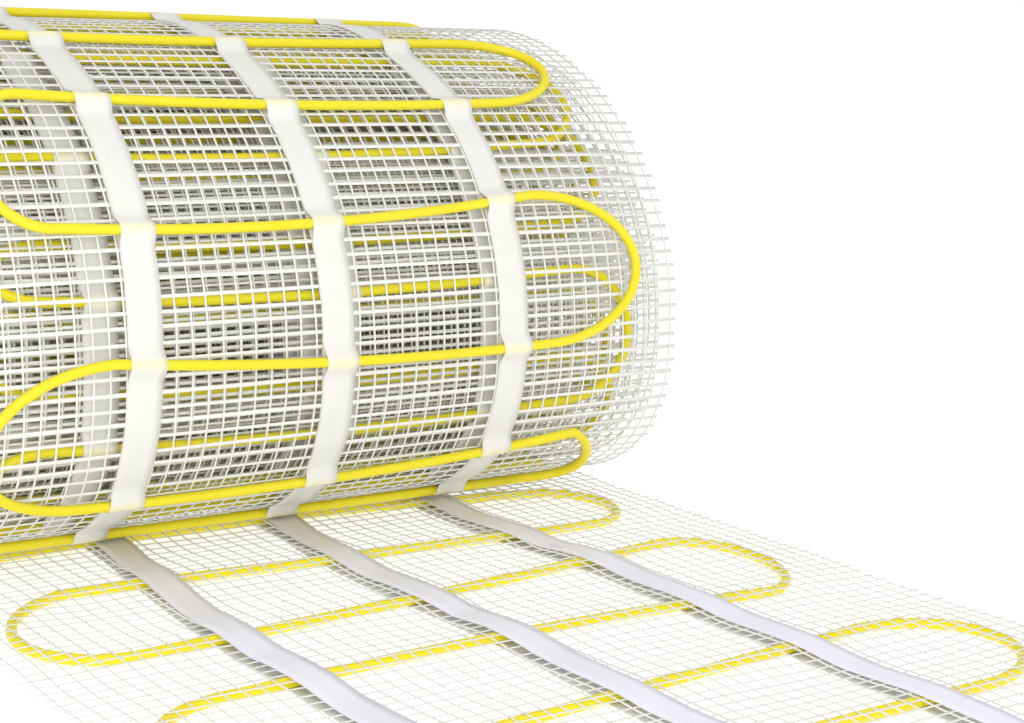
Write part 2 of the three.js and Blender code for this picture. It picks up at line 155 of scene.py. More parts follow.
# Tapes. The cover tapes have a ridge over each run round the roll, and show its colour there. The
# backing tapes have painted shade, darker and warmer, in the hollows and near the roll.
COVER_THICKNESS = 0.22 * MM
BACKING_THICKNESS = 0.2 * MM
TENT_REACH = 11 * MM
TAPE_COLUMNS = 5
TAPE_STEP = 3 * MM
INNER_TAPE_STEPS = 70
TAPE_EDGE_WANDER = 0.25 * MM
TAPE_EDGE_LENGTH = 50 * MM
TAPE_SEED = 77
TAPE_GAP = 0.05 * MM
SHOW_THROUGH_START = 2 * MM
SHOW_THROUGH_FADE = 2.2 * MM
SHOW_THROUGH = 0.6
BACKING_SPREAD = 1.15
# Painted shade on the backing tapes: how much a hollow gets, and how far from the roll it fades
HOLLOW_PAINTED_SHADE = 0.3
PAINTED_SHADE_REACH = 330 * MM

# The photograph's camera
IMAGE_WIDTH = 1024
FOCAL_PIXELS = 2002.4
SENSOR = 36.0
CAMERA_PLACE = (-0.5959, -0.90147, 0.3315)
CAMERA_YAW = 0.62818
CAMERA_PITCH = 0.17977
CAMERA_ROLL = -0.03787

# Studio: the camera sees the sky as white, and the sky lights the part less than that
SKY_WHITE = 1.1
SKY_LIGHT = 0.8
FLOOR_REACH = 6
FLOOR_DROP = 0.4 * MM

# Fine relief of the surfaces, and how finely the yarns' strands repeat on their uv
GRAIN_DEPTH = 0.2 * MM
FINE_GRAIN_TIMES = 9.0
STRAND_SCALE = (1100.0, 3.0, 1.0)

# Lengths of the three waves in a wander, the floor line's extra length and its points, and how
# many points are searched at once
WAVE_SHARES = np.array([1.0, 0.61, 0.37])
LINE_SPARE = 20 * MM
LINE_STEPS = 200
SEARCH_CHUNK = 20000

rng = np.random.default_rng(11)


def smooth(share):
    """Smoothstep: 3t^2 - 2t^3 of the share held between 0 and 1."""
    t = np.clip(share, 0, 1)
    return t * t * (3 - 2 * t)


def waves(value, length, seed):
    """A smooth wander between about -1 and 1: the mean of three sine waves of unlike lengths."""
    phases = np.random.default_rng(seed).uniform(0, 2 * math.pi, 3)
    turns = 2 * math.pi * np.asarray(value)[..., None] / (length * WAVE_SHARES)
    return np.sin(turns + phases).mean(axis=-1)


def section_radius(angle):
    """Superellipse: r = ((|cos| / reach)^n + (|sin| / reach)^n)^(-1/n), with a reach for each side
    and n for each half, cut off by the flat bottom. The angle is 0 at the front and a quarter turn
    at the bottom."""
    across = np.abs(np.cos(angle)) / np.where(np.cos(angle) > 0, FRONT_REACH, BACK_REACH)
    upright = np.abs(np.sin(angle)) / np.where(np.sin(angle) > 0, LOWER_REACH, UPPER_REACH)
    power = np.where(np.sin(angle) > 0, LOWER_SQUARENESS, UPPER_SQUARENESS)
    radius = (across**power + upright**power) ** (-1 / power)
    down = np.maximum(np.sin(angle), 1e-6)
    return np.where(np.sin(angle) > 0, np.minimum(radius, BOTTOM_REACH / down), radius)


def spiral(roll_y):
    """The cable's line round the roll, from the lift-off inwards, as length, y and z. The first
    turn closes in by one stack and each later one by a share of the section."""
    angle = math.pi / 2 + 2 * math.pi * TURN_GRID
    share = 1 - TURN_SHARE * np.clip(TURN_GRID - 1, 0, None)
    radius = section_radius(angle) * share + STACK * np.clip(1 - TURN_GRID, 0, None)
    z = ROLL_MIDDLE - radius * np.sin(angle)
    y = roll_y - radius * np.cos(angle) + ROLL_LEAN * (z - CABLE_HEIGHT)
    along = -np.concatenate([[0], np.cumsum(np.hypot(np.diff(y), np.diff(z)))])
    return along, y, z


TAIL_LENGTH = FIRST_RUN + LAST_RUN * RUN_PITCH + END_MARGIN
LIFT_Y = MESH_LOW[1] + TAIL_LENGTH


def whole_line():
    """The cable's line over the whole mat from the inner end outwards: length, y, z and the
    outward normal, which is the line's direction turned a quarter in the YZ plane."""
    along, y, z = (values[::-1] for values in spiral(LIFT_Y))
    floor = np.linspace(0, TAIL_LENGTH + LINE_SPARE, LINE_STEPS)[1:]
    along = np.concatenate([along, floor])
    y = np.concatenate([y, LIFT_Y - floor])
    z = np.concatenate([z, np.full_like(floor, CABLE_HEIGHT)])
    step_y, step_z = np.gradient(y, along), np.gradient(z, along)
    size = np.hypot(step_y, step_z)
    return along, y, z, -step_z / size, step_y / size


LINE = whole_line()
INNER_END = LINE[0][0]
SPIRAL_ALONG = spiral(LIFT_Y)[0]
TURN_ALONG = np.interp(np.arange(math.ceil(TURNS)), TURN_GRID, SPIRAL_ALONG)


def place(x, along, outwards):
    """Points at x and along, lying outwards from the cable's line."""
    y, z, out_y, out_z = (np.interp(along, LINE[0], values) for values in LINE[1:])
    return np.stack(np.broadcast_arrays(x, y + outwards * out_y, z + outwards * out_z), axis=-1)


def listed_runs():
    """Each run's number, along at the middle line, lean and bow, from the innermost outwards. The
    runs inside the roll follow the listed ones at one spacing, with a shift that changes slowly
    from run to run and a small wander."""
    numbers = np.arange(FIRST_LISTED, LAST_RUN + 1)
    middle = FIRST_RUN + numbers * RUN_PITCH + RUN_WANDER[:, 0]
    inner_count = int((middle[0] - INNER_END - BEND_REACH / 3) / INNER_PITCH)
    inner = np.arange(-inner_count, 0)
    shift = np.interp(inner + FIRST_LISTED, INNER_SHIFT_RUNS, INNER_SHIFT_MM)
    wander = rng.uniform(-INNER_WANDER_MM, INNER_WANDER_MM, inner_count)
    inner_middle = middle[0] + inner * INNER_PITCH + (shift + wander) * MM
    inner_lean = rng.uniform(-INNER_LEAN_MM, INNER_LEAN_MM, inner_count) * MM
    return (
        np.concatenate([inner + FIRST_LISTED, numbers]),
        np.concatenate([inner_middle, middle]),
        np.concatenate([inner_lean, RUN_WANDER[:, 1]]),
        np.concatenate([np.full(inner_count, INNER_BOW), RUN_WANDER[:, 2]]),
    )


RUN_NUMBERS, RUN_MIDDLES, RUN_LEANS, RUN_BOWS = listed_runs()


def run_along(index, x):
    """Where a run lies at x."""
    held = np.clip(x, -BEND_REACH, BEND_REACH)
    bowed = RUN_BOWS[index] * (1 - (held / TAPE_SPACING) ** 2)
    return RUN_MIDDLES[index] + RUN_LEANS[index] * held / LEAN_SPAN + bowed


def bend_side(number):
    """A run is joined to the next one outwards on the right (1) or on the left (-1)."""
    return 1 if number % 2 == 0 else -1


def bend_shape(index):
    """The bend after a run: its half width, where it starts, and how far its top is pushed
    outwards and along."""
    x = bend_side(RUN_NUMBERS[index]) * (BEND_REACH - RUN_PITCH / 2)
    radius = (run_along(index + 1, x) - run_along(index, x)) / 2
    outwards, along, start = (part * MM for part in BEND_SKEW.get(RUN_NUMBERS[index], (0, 0, 0)))
    return radius, BEND_REACH - radius + start, outwards, along


def cable_route(first, last, straight_steps, bend_steps):
    """The cable's route as x and along: each run, then a half circle to the next run, pushed by
    a half sine. first and last are run indices."""
    xs, alongs = [], []
    for index in range(first, last + 1):
        side = bend_side(RUN_NUMBERS[index])
        start = -side * (bend_shape(index - 1)[1] if index > 0 else BEND_REACH - RUN_PITCH / 2)
        if index + 1 == len(RUN_NUMBERS):
            end = side * LAST_RUN_REACH
        else:
            radius, bend_start, outwards, push = bend_shape(index)
            end = side * bend_start
        x = np.linspace(start, end, straight_steps + 1)
        xs.append(x)
        alongs.append(run_along(index, x))
        if index == last or index + 1 == len(RUN_NUMBERS):
            continue
        angle = np.linspace(0, math.pi, bend_steps + 1)[1:-1]
        here, there = run_along(index, end), run_along(index + 1, end)
        xs.append(end + side * (radius + outwards) * np.sin(angle))
        middle = (here + there) / 2 + push * np.sin(angle)
        alongs.append(middle - (there - here) / 2 * np.cos(angle))
    return np.concatenate(xs), np.concatenate(alongs)


OUTER_FIRST = int(np.argmax(RUN_NUMBERS == FIRST_LISTED))
FLOOR_FIRST = int(np.argmax(RUN_NUMBERS == -1))
FLOOR_ROUTE = cable_route(FLOOR_FIRST, len(RUN_NUMBERS) - 1, 12, 24)


def cable_distance(x, along):
    """The distance on the flat mat to the cable's route on the floor: the least distance to any
    of its segments, each by the foot of the perpendicular held inside the segment."""
    x, along = np.broadcast_arrays(x, along)
    ends = np.stack(FLOOR_ROUTE, axis=-1)
    a, step = ends[:-1], np.diff(ends, axis=0)
    points = np.stack([x.ravel(), along.ravel()], axis=-1)
    best = np.full(len(points), np.inf)
    for start in range(0, len(points), SEARCH_CHUNK):
        part = points[start:start + SEARCH_CHUNK]
        away = part[:, None] - a[None]
        share = np.clip((away * step).sum(-1) / (step**2).sum(-1), 0, 1)
        apart = np.linalg.norm(away - share[..., None] * step, axis=-1)
        best[start:start + SEARCH_CHUNK] = apart.min(axis=1)
    return best.reshape(x.shape)


def tent(distance, reach):
    """A soft ridge over the cable: half of 1 + cos, from 1 at no distance to 0 at the reach."""
    return 0.5 * (1 + np.cos(math.pi * np.clip(np.abs(distance) / reach, 0, 1)))


def drape(x, along, reach=DRAPE_REACH):
    """How high the mesh's underside lies on the floor: a ridge over the cable, and between runs
    a shallow sag that wanders, because the mesh is stiff."""
    lift = SAG_HEIGHT * (1 + SAG_WANDER * waves(along + 0.7 * x, SAG_WANDER_LENGTH, SAG_SEED))
    ridge = tent(cable_distance(x, along), reach)
    return DRAPE_HEIGHT * ridge + lift * (1 - ridge)


def floor_share(along):
    """How far the mat is laid out: 0 round the roll, 1 on the floor, and smooth between, under
    the roll."""
    return smooth((along - LIFT_OFF) / -LIFT_OFF)


def mesh_outwards(x, along):
    """How far the mesh's middle surface lies outwards from the cable's line: just inside the
    cable round the roll, and draped over it on the floor, with a smooth change under the roll."""
    x, along = np.broadcast_arrays(x, along)
    outwards = np.full(x.shape, -MESH_OFFSET)
    floor = along > LIFT_OFF
    height = drape(x[floor], along[floor]) + LONG_THICKNESS / 2
    outwards[floor] += floor_share(along[floor]) * (CABLE_HEIGHT - height + MESH_OFFSET)
    return outwards


# How far a turn lies to the side of the outermost one, by the number of turns inwards
SIDE_SHIFT_MM = [0, 0, -4, 3, -2, 4, -1, 3, -3, 2, -2, 1, 0]


def side_shift(along):
    """The mat's wander along the roll's axis, smooth between the turns' own shifts."""
    return np.interp(-along, -TURN_ALONG, np.array(SIDE_SHIFT_MM) * MM)


def put_mesh(name, points, faces, uv=None, values=None):
    """A mesh object from an array of points, a list of face arrays, each of one corner count, uv
    for each corner in the faces' order, and named values for each point."""
    mesh = bpy.data.meshes.new(name)
    mesh.vertices.add(len(points))
    mesh.vertices.foreach_set("co", np.asarray(points, np.float32).ravel())
    loops = np.concatenate([part.ravel() for part in faces])
    totals = np.concatenate([np.full(len(part), part.shape[1]) for part in faces])
    mesh.loops.add(len(loops))
    mesh.loops.foreach_set("vertex_index", loops.astype(np.int32))
    mesh.polygons.add(len(totals))
    mesh.polygons.foreach_set("loop_start", (np.cumsum(totals) - totals).astype(np.int32))
    mesh.polygons.foreach_set("loop_total", totals.astype(np.int32))
    if uv is not None:
        layer = mesh.uv_layers.new(name="along_and_across")
        layer.data.foreach_set("uv", np.asarray(uv, np.float32)[loops].ravel())
    for key, data in (values or {}).items():
        attribute = mesh.attributes.new(key, "FLOAT", "POINT")
        attribute.data.foreach_set("value", np.asarray(data, np.float32))
    mesh.update(calc_edges=True)
    mesh.validate()
    piece = bpy.data.objects.new(name, mesh)
    bpy.context.scene.collection.objects.link(piece)
    return piece


def signed_volume(points, quads):
    """Six times the volume that quads enclose: the sum of a . (b x c) over their triangles."""
    a, b, c, d = (points[quads[:, i]] for i in range(4))
    return (a * np.cross(b, c)).sum() + (a * np.cross(c, d)).sum()


def tubes(name, rings, lengths, smooth_faces=False, values=None):
    """Closed tubes from rings of corners, shaped (tubes, rings, corners, 3): quads between
    neighbouring rings and a face on both ends. lengths is each ring's distance, for the uv."""
    count, steps, corners = rings.shape[:3]
    at = np.arange(count * steps * corners).reshape(count, steps, corners)
    beside = np.roll(at, -1, axis=2)
    quads = np.stack([at[:, :-1], beside[:, :-1], beside[:, 1:], at[:, 1:]], axis=-1).reshape(-1, 4)
    start, end = at[:, 0, ::-1].reshape(-1, corners), at[:, -1].reshape(-1, corners)
    points = rings.reshape(-1, 3)
    middle = points[at[0]].mean(axis=(0, 1))
    first = quads[: (steps - 1) * corners]
    if signed_volume(points - middle, first) < 0:
        quads, start, end = quads[:, ::-1], start[:, ::-1], end[:, ::-1]
    across = np.broadcast_to(np.arange(corners) / corners, (count, steps, corners))
    run = np.broadcast_to(np.asarray(lengths)[..., None], (count, steps, corners))
    uv = np.stack([run, across], axis=-1).reshape(-1, 2)
    piece = put_mesh(name, points, [quads, start, end], uv, values)
    if smooth_faces:
        flags = np.ones(len(piece.data.polygons), bool)
        flags[-2 * count:] = False
        piece.data.polygons.foreach_set("use_smooth", flags)
    return piece


def finished(piece, node, material):
    """Puts a piece on the root body in place of its node and material."""
    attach(piece, "root")
    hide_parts(node)
    piece.data.materials.append(material)


def turn_steps(from_turn, to_turn, steps):
    """Lengths along the mat at equal steps of a turn, from the outer one inwards."""
    turns = np.linspace(from_turn, to_turn, int(round((to_turn - from_turn) * steps)) + 1)
    return np.interp(turns, TURN_GRID, SPIRAL_ALONG)


def long_yarns(alongs):
    """Rings of the yarns that run along the mat: a flat box section of four corners at each
    length, carried on the mesh's middle surface, with each yarn's own slight wander."""
    spread = np.linspace(-HALF_WIDTH + LONG_EDGE, HALF_WIDTH - LONG_EDGE, LONG_COUNT)
    wander = np.stack([
        waves(alongs, LONG_WANDER_LENGTH, LONG_SEED + i) for i in range(LONG_COUNT)
    ])
    x = spread[:, None] + LONG_WANDER * wander + side_shift(alongs)
    along = np.broadcast_to(alongs, x.shape)
    lift = mesh_outwards(x, along)
    half = (LONG_WIDTH + (FLOOR_LONG_WIDTH - LONG_WIDTH) * floor_share(along)) / 2
    corners = [(-1, -1), (1, -1), (1, 1), (-1, 1)]
    return np.stack([
        place(x + i * half, along, lift + j * LONG_THICKNESS / 2) for i, j in corners
    ], axis=2)


def cross_yarns(alongs, steps):
    """Rings of the ribbons that run across the mat: a flat box section of four corners at each x,
    each ribbon at its own length along the mat with a slight wander and its own ends."""
    count = len(alongs)
    ends = rng.uniform(-CROSS_END_MM, CROSS_END_MM, (2, count, 1)) * MM
    share = np.linspace(0, 1, steps + 1)
    x = (-HALF_WIDTH + ends[0]) * (1 - share) + (HALF_WIDTH + ends[1]) * share
    bow = np.stack([waves(share, CROSS_BOW_SHARE, CROSS_SEED + i) for i in range(count)])
    moved = rng.uniform(-CROSS_PLACE_MM, CROSS_PLACE_MM, (count, 1)) * MM
    along = alongs[:, None] + CROSS_BOW * bow + moved
    laid = floor_share(alongs)[:, None]
    rolled = np.where(alongs < TURN_ALONG[1], INNER_CROSS_WIDTH, CROSS_WIDTH)[:, None]
    width = rolled + (FLOOR_CROSS_WIDTH - rolled) * laid
    width = width * rng.uniform(*CROSS_WIDTH_SHARES, (count, 1))
    x = x + side_shift(along)
    rings = []
    for i, j in [(-1, -1), (1, -1), (1, 1), (-1, 1)]:
        edge = along + i * width / 2
        rings.append(place(x, edge, mesh_outwards(x, edge) + j * CROSS_THICKNESS / 2))
    return np.stack(rings, axis=2)


def mesh_piece(name, alongs, cross_steps, material):
    """A stretch of mesh between its first and last length: the long yarns and the cross yarns."""
    high, low = alongs.max(), alongs.min()
    rows = np.arange(math.ceil(low / CROSS_PITCH), math.floor(high / CROSS_PITCH) + 1) * CROSS_PITCH
    rows = rows[(rows > low) & (rows < high)]
    along_rings, across_rings = long_yarns(alongs), cross_yarns(rows, cross_steps)
    along_part = tubes(name, along_rings, np.broadcast_to(alongs, along_rings.shape[:2]))
    reach = np.linspace(-HALF_WIDTH, HALF_WIDTH, cross_steps + 1)
    reach = np.broadcast_to(reach, across_rings.shape[:2])
    across_part = tubes(name + "_across", across_rings, reach)
    for part in (along_part, across_part):
        finished(part, "glass_fibre_mesh", material)


def cable_piece(name, route, sides, material):
    """A round tube along the cable's route: rings about the line in the plane of the outward
    normal and the side direction, which is the route's direction crossed with that normal."""
    x, along = route
    centre = place(x + side_shift(along) * (along < 0), along, 0.0)
    outward = place(x, along, 1.0) - place(x, along, 0.0)
    direction = np.gradient(centre, axis=0)
    direction /= np.linalg.norm(direction, axis=1, keepdims=True)
    sideways = np.cross(direction, outward)
    sideways /= np.linalg.norm(sideways, axis=1, keepdims=True)
    angle = np.linspace(0, 2 * math.pi, sides, endpoint=False)[None, :, None]
    rings = centre[:, None] + CABLE_RADIUS * (
        np.cos(angle) * outward[:, None] + np.sin(angle) * sideways[:, None]
    )
    lengths = np.concatenate([[0], np.cumsum(np.linalg.norm(np.diff(centre, axis=0), axis=1))])
    piece = tubes(name, rings[None], lengths[None], smooth_faces=True)
    finished(piece, "heating_cable", material)


# How far each tape lies from its own line, as pairs of the length along the mat and the wander,
# both in mm: on the floor, on the front of the roll and in the turns behind it
TAPE_WANDER = {
    "left": [(360, -4), (287, -4.8), (181, 4), (91, 14.5), (0, 8), (-430, -4), (-540, -4.1),
             (-610, -0.5), (-701, 0.1), (-776, -2.3), (-866, -4.4), (-1000, -4), (-1300, -16),
             (-1480, -20), (-1900, -20), (-2100, -8), (-2600, 9)],
    "middle": [(453, -5.8), (354, -0.5), (276, -5.5), (188, -7.5), (90, 4.5), (0, 2), (-447, -7.3),
               (-544, -10.1), (-616, -7.3), (-701, -5.3), (-783, -4.8), (-865, -4.9), (-1000, 1),
               (-1300, 7), (-1480, 8), (-1900, 8), (-2100, 2), (-2600, -7)],
    "right": [(441, -3.4), (358, -3), (261, 1), (194, -11.8), (102, -10.5), (0, -9), (-442, -4.6),
              (-541, -15.3), (-616, -5.2), (-690, -4.6), (-783, -4.5), (-855, -7.2), (-1000, -3),
              (-1300, -4), (-1480, -8), (-1900, -8), (-2100, 0), (-2600, 8)],
}

# A tape's wander is a mean over places this far before and after it, so that it has no corners
TAPE_EASE = np.array([-36, -24, -12, 0, 12, 24, 36]) * MM


def tape_middle(line, along):
    """A tape's x at a length along the mat, its wander eased by a mean over nearby lengths."""
    stops = np.array(TAPE_WANDER[line][::-1], float) * MM
    near = np.asarray(along)[..., None] + TAPE_EASE
    wander = np.interp(near, stops[:, 0], stops[:, 1]).mean(axis=-1)
    return TAPE_LINES[line] + wander + side_shift(along)


def run_gap(x, along):
    """The least distance along the mat to a run that crosses at x."""
    x = np.asarray(x)[..., None]
    runs = RUN_MIDDLES + RUN_LEANS * x / LEAN_SPAN + RUN_BOWS * (1 - (x / TAPE_SPACING) ** 2)
    return np.abs(np.asarray(along)[..., None] - runs).min(axis=-1)


def tape_steps():
    """Lengths at which a tape has rings: close together on the floor and over the first two
    turns, and further apart inside the roll."""
    fine = np.arange(turn_steps(2, 2, 1)[0], TAIL_LENGTH, TAPE_STEP)
    inner = turn_steps(2, TURNS, INNER_TAPE_STEPS)[::-1]
    return np.concatenate([inner[:-1], fine, [TAIL_LENGTH]])


def tape_rings(line, alongs, outer, inner):
    """Rings of a tape: TAPE_COLUMNS corners across its outer face and as many back across its
    inner face, each at its own height outwards from the cable's line."""
    across = np.linspace(-1, 1, TAPE_COLUMNS) * TAPE_WIDTH / 2
    wave = waves(alongs, TAPE_EDGE_LENGTH, TAPE_SEED)[:, None]
    edge = TAPE_EDGE_WANDER * wave * np.sign(across)
    x = tape_middle(line, alongs)[:, None] + across + edge
    along = np.broadcast_to(alongs[:, None], x.shape)
    outer_face = place(x, along, outer(x, along))
    inner_face = place(x, along, inner(x, along))
    return np.concatenate([outer_face, inner_face[:, ::-1]], axis=1)


def cover_height(x, along):
    """The cover tape's inner face: on the mesh round the roll with a ridge over each run, and
    flat on the floor under the cable."""
    ridge = tent(run_gap(x, along), TENT_REACH)
    rolled = -CABLE_RADIUS + (2 * CABLE_RADIUS + 0.1 * MM) * ridge
    share = floor_share(along)
    return rolled * (1 - share) + share * (CABLE_HEIGHT - COVER_THICKNESS - TAPE_GAP)


def cover_tape(line, material):
    """The tape on the mesh's outer face, with the nearness of a run beneath kept as a value."""
    alongs = tape_steps()

    def outer_height(x, along):
        return cover_height(x, along) + COVER_THICKNESS

    rings = tape_rings(line, alongs, outer_height, cover_height)
    x = np.broadcast_to(tape_middle(line, alongs)[:, None], rings.shape[:2])
    gap = run_gap(x, alongs[:, None])
    beneath = 1 - smooth((gap - SHOW_THROUGH_START) / SHOW_THROUGH_FADE)
    values = {"beneath": beneath.ravel()}
    piece = tubes(f"cover_tape_{line}_strip", rings[None], alongs[None], True, values)
    finished(piece, f"cover_tape_{line}", material)


def backing_height(x, along):
    """The backing tape's outer face, on the mesh's inner face."""
    x, along = np.broadcast_arrays(x, along)
    outwards = np.full(x.shape, -MESH_OFFSET - LONG_THICKNESS / 2)
    floor = along > LIFT_OFF
    height = drape(x[floor], along[floor], DRAPE_REACH * BACKING_SPREAD) + LONG_THICKNESS
    outwards[floor] += floor_share(along[floor]) * (CABLE_HEIGHT - height - outwards[floor])
    return outwards


def backing_tape(line, material):
    """The tape on the mesh's inner face, the upper one on the floor. How deep it lies between
    the ridges and how near the roll is kept as painted shade, darker and warmer there."""
    alongs = tape_steps()

    def inner_height(x, along):
        return backing_height(x, along) - BACKING_THICKNESS

    rings = tape_rings(line, alongs, backing_height, inner_height)
    hollow = 1 - np.clip(rings[..., 2] / DRAPE_HEIGHT, 0, 1)
    # Painted shade: darker and warmer where the tape lies deep between the ridges and near the roll
    painted_shade = np.clip(HOLLOW_PAINTED_SHADE * hollow + 1 - smooth(alongs[:, None] / PAINTED_SHADE_REACH), 0, 1)
    values = {"painted_shade": painted_shade.ravel()}
    piece = tubes(f"backing_tape_{line}_strip", rings[None], alongs[None], True, values)
    finished(piece, f"backing_tape_{line}", material)


def add_node(tree, kind, settings=None, **inputs):
    """A shader node with its settings, and its inputs given by name as a value or a socket."""
    made = tree.nodes.new(kind)
    for name, value in (settings or {}).items():
        setattr(made, name, value)
    for name, value in inputs.items():
        socket = made.inputs[name.replace("_", " ")]
        if isinstance(value, bpy.types.NodeSocket):
            tree.links.new(value, socket)
        else:
            socket.default_value = value
    return made


def srgb(red, green, blue):
    """A colour of 0 to 255 parts as linear light."""
    parts = np.array([red, green, blue]) / 255
    linear = np.where(parts <= 0.04045, parts / 12.92, ((parts + 0.055) / 1.055) ** 2.4)
    return (*linear.tolist(), 1.0)


def new_material(name, **plain):
    """A material with one Principled shader, its plain values set on the shader's own sockets."""
    material = bpy.data.materials.new(name)
    material.use_nodes = True
    tree = material.node_tree
    shader = tree.nodes["Principled BSDF"]
    for key, value in plain.items():
        shader.inputs[key.replace("_", " ")].default_value = value
    return material, tree, shader


def grain_group():
    """Fine unevenness for any surface: two sizes of noise mix two colours and raise a height."""
    group = bpy.data.node_groups.new("fine_grain", "ShaderNodeTree")
    sockets = group.interface
    for name, kind in (("Vector", "NodeSocketVector"), ("Size", "NodeSocketFloat"),
                       ("Colour", "NodeSocketColor"), ("Other colour", "NodeSocketColor")):
        sockets.new_socket(name, in_out="INPUT", socket_type=kind)
    for name, kind in (("Colour", "NodeSocketColor"), ("Height", "NodeSocketFloat")):
        sockets.new_socket(name, in_out="OUTPUT", socket_type=kind)
    come = group.nodes.new("NodeGroupInput")
    leave = group.nodes.new("NodeGroupOutput")
    broad = add_node(group, "ShaderNodeTexNoise", Vector=come.outputs["Vector"],
                     Scale=come.outputs["Size"], Detail=3.0, Roughness=0.6)
    fine_size = add_node(group, "ShaderNodeMath", {"operation": "MULTIPLY"})
    group.links.new(come.outputs["Size"], fine_size.inputs[0])
    fine_size.inputs[1].default_value = FINE_GRAIN_TIMES
    fine = add_node(group, "ShaderNodeTexNoise", Vector=come.outputs["Vector"],
                    Scale=fine_size.outputs[0], Detail=2.0)
    blend = group.nodes.new("ShaderNodeMix")
    blend.data_type = "RGBA"
    group.links.new(broad.outputs["Fac"], blend.inputs["Factor"])
    group.links.new(come.outputs["Colour"], blend.inputs[6])
    group.links.new(come.outputs["Other colour"], blend.inputs[7])
    group.links.new(blend.outputs[2], leave.inputs["Colour"])
    group.links.new(fine.outputs["Fac"], leave.inputs["Height"])
    return group


def grained(tree, shader, group, size, colours, bump):
    """Places the grain in a material, on Object coordinates, between two colours, and returns the
    nodes that give its colour and its normal."""
    coordinates = tree.nodes.new("ShaderNodeTexCoord")
    grain = tree.nodes.new("ShaderNodeGroup")
    grain.node_tree = group
    tree.links.new(coordinates.outputs["Object"], grain.inputs["Vector"])
    grain.inputs["Size"].default_value = size
    grain.inputs["Colour"].default_value, grain.inputs["Other colour"].default_value = colours
    bumped = add_node(tree, "ShaderNodeBump", Strength=bump, Distance=GRAIN_DEPTH,
                      Height=grain.outputs["Height"])
    tree.links.new(grain.outputs["Colour"], shader.inputs["Base Color"])
    tree.links.new(bumped.outputs["Normal"], shader.inputs["Normal"])
    return grain, bumped


def yarn_material(group):
    """White coated glass-fibre yarn: fine strands twisted along the yarn, shown as a slanting
    wave of height on the yarn's own uv."""
    material, tree, shader = new_material("white_coated_yarn", Roughness=0.5, Sheen_Weight=0.15)
    colours = srgb(238, 238, 234), srgb(227, 227, 220)
    bumped = grained(tree, shader, group, size=240.0, colours=colours, bump=0.25)[1]
    place_on = tree.nodes.new("ShaderNodeTexCoord")
    slant = add_node(tree, "ShaderNodeMapping", Vector=place_on.outputs["UV"], Scale=STRAND_SCALE)
    strands = add_node(tree, "ShaderNodeTexWave", {"bands_direction": "DIAGONAL"},
                       Vector=slant.outputs["Vector"], Scale=1.0, Distortion=1.5)
    twisted = add_node(tree, "ShaderNodeBump", Strength=0.3, Distance=GRAIN_DEPTH,
                       Height=strands.outputs["Fac"], Normal=bumped.outputs["Normal"])
    tree.links.new(twisted.outputs["Normal"], shader.inputs["Normal"])
    return material


def cable_material(group):
    """Lemon yellow plastic sheath, satin, with a slight unevenness from extrusion."""
    material, tree, shader = new_material("yellow_sheath", Roughness=0.42, Specular_IOR_Level=0.35)
    colours = srgb(236, 222, 44), srgb(228, 212, 32)
    grained(tree, shader, group, size=60.0, colours=colours, bump=0.12)
    return material


def cover_material(group):
    """Off-white tape, slightly see-through: the cable beneath tints it."""
    material, tree, shader = new_material("off_white_tape", Roughness=0.48)
    colours = srgb(228, 228, 223), srgb(221, 221, 215)
    grain = grained(tree, shader, group, size=90.0, colours=colours, bump=0.15)[0]
    beneath = add_node(tree, "ShaderNodeAttribute", {"attribute_name": "beneath"})
    amount = add_node(tree, "ShaderNodeMath", {"operation": "MULTIPLY"})
    tree.links.new(beneath.outputs["Fac"], amount.inputs[0])
    amount.inputs[1].default_value = SHOW_THROUGH
    tint = tree.nodes.new("ShaderNodeMix")
    tint.data_type = "RGBA"
    tree.links.new(amount.outputs[0], tint.inputs["Factor"])
    tree.links.new(grain.outputs["Colour"], tint.inputs[6])
    tint.inputs[7].default_value = srgb(240, 233, 178)
    tree.links.new(tint.outputs[2], shader.inputs["Base Color"])
    return material


def backing_material(group):
    """Smooth pale grey tape, with painted shade, darker and warmer, in the hollows and near the
    roll.
    """
    material, tree, shader = new_material("pale_grey_tape", Roughness=0.33, Specular_IOR_Level=0.5)
    colours = srgb(238, 237, 248), srgb(232, 231, 243)
    grain = grained(tree, shader, group, size=70.0, colours=colours, bump=0.1)[0]
    # Painted shade: mixes in a darker, warmer colour by the painted_shade value
    painted_shade = add_node(tree, "ShaderNodeAttribute", {"attribute_name": "painted_shade"})
    painted_shade_mix = tree.nodes.new("ShaderNodeMix")
    painted_shade_mix.data_type = "RGBA"
    tree.links.new(painted_shade.outputs["Fac"], painted_shade_mix.inputs["Factor"])
    tree.links.new(grain.outputs["Colour"], painted_shade_mix.inputs[6])
    painted_shade_mix.inputs[7].default_value = srgb(224, 219, 203)
    tree.links.new(painted_shade_mix.outputs[2], shader.inputs["Base Color"])
    return material


